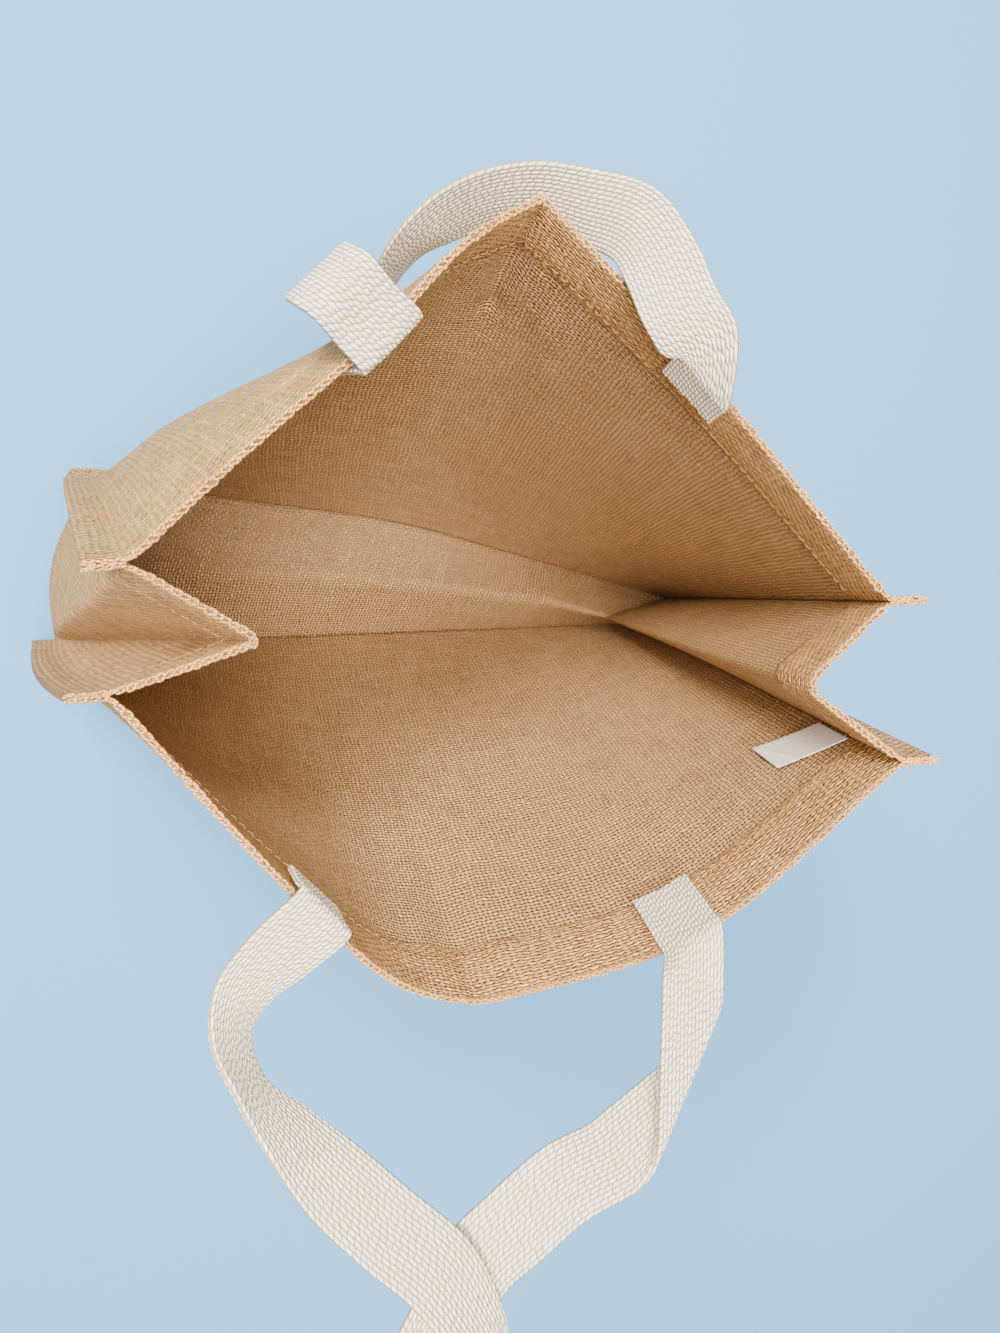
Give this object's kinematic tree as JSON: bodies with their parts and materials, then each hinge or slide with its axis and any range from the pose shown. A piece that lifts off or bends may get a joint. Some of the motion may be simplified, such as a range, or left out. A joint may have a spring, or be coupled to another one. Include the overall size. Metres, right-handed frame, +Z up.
{
  "type": "jute tote bag",
  "caption": "Open jute tote bag standing on its bottom seams, with folded side gussets, outward seams, a turned hem and soft cotton web handles; carries shopping.",
  "frame": {"origin": "middle of the bounding box on the floor that the bag stands on", "axes": "+Z up through the mouth, +X along the panels to the bag's right side, -Y towards the front panel"},
  "size_m": [0.4236, 0.4404, 0.3941],
  "materials": {
    "jute_cloth": "plain-woven natural jute, film-coated inside",
    "cotton_web": "undyed woven cotton webbing",
    "label_tape": "white satin tape"
  },
  "bodies": {
    "root": {"back_panel": "jute_cloth", "front_panel": "jute_cloth", "gusset_strip": "jute_cloth", "back_handle": "cotton_web", "front_handle": "cotton_web", "care_label": "label_tape"}
  },
  "joints": []
}
